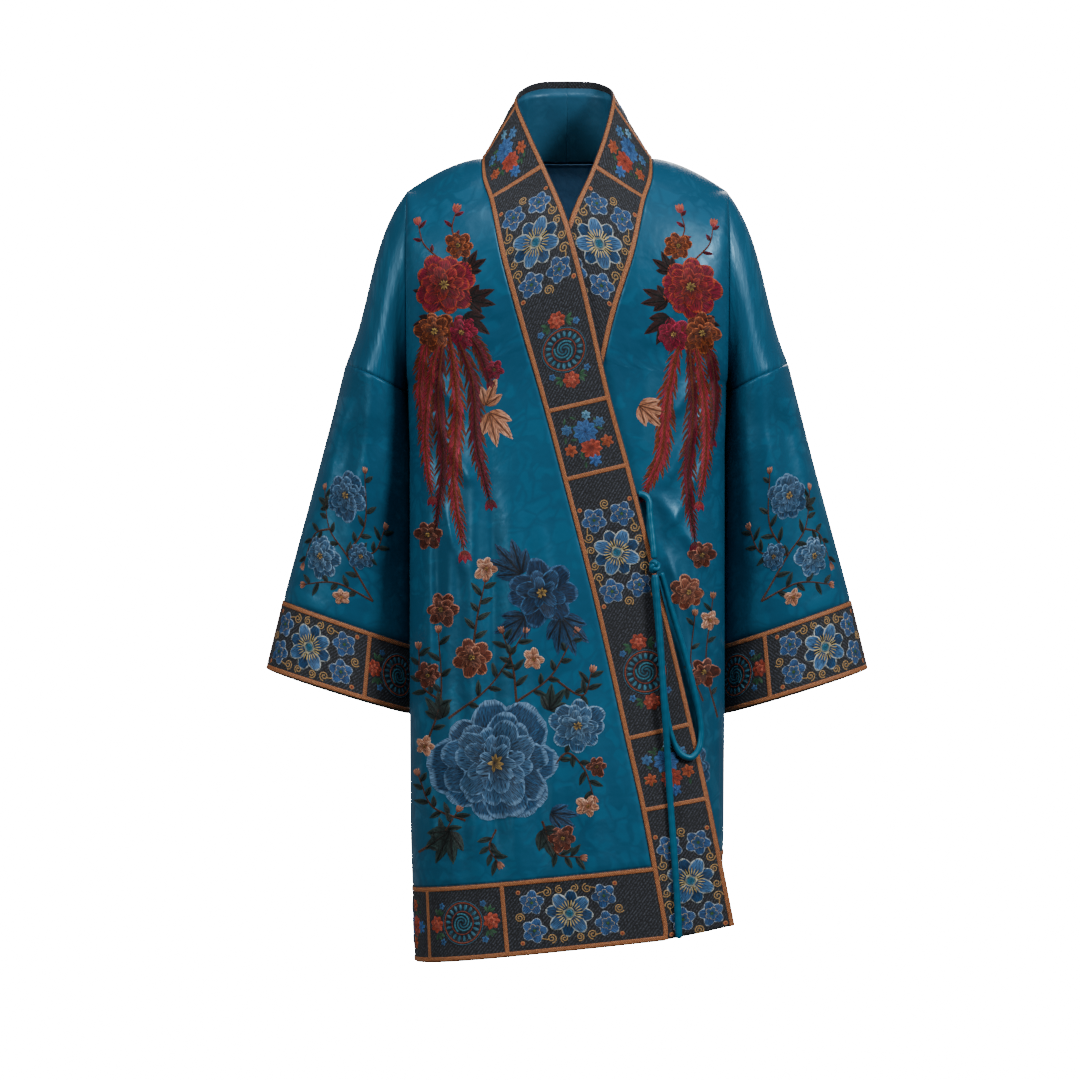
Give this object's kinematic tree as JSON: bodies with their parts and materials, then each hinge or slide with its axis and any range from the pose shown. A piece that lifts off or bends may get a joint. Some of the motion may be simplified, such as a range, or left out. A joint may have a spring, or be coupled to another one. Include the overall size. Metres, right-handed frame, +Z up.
{
  "type": "crossed-collar wide-sleeved robe",
  "caption": "Hollow satin robe filled out as worn, with a crossed standing collar, dropped shoulders, wide sleeves, brocade bands and a knotted tie.",
  "frame": {"origin": "middle of the neck opening, level with the seam at the foot of the collar, where the wearer's neck and shoulders hold the robe", "axes": "+Z up, -Y the way the front faces, +X to the wearer's left"},
  "size_m": [0.724, 0.2284, 1.0559],
  "materials": {
    "satin": "teal silk satin with a faint self-coloured jacquard",
    "brocade": "charcoal brocade with copper tapes and coloured flowers",
    "facing": "dark teal satin facing",
    "lining": "blue lining",
    "tie": "teal satin tie"
  },
  "bodies": {
    "root": {"front_right": "satin", "front_left": "satin", "back_panel": "satin", "upper_sleeve_right": "satin", "upper_sleeve_left": "satin", "sleeve_right": "satin", "sleeve_left": "satin", "cuff_right": "brocade", "cuff_left": "brocade", "neck_band_right": "brocade", "neck_band_left": "brocade", "hem_band_right": "brocade", "hem_band_left": "brocade", "hem_band_back": "brocade", "collar_facing_right": "facing", "collar_facing_left": "facing", "back_lining": "lining", "tie_knot": "tie", "tie_base": "tie", "tie_tail": "tie", "tie_loop": "tie"}
  },
  "joints": []
}
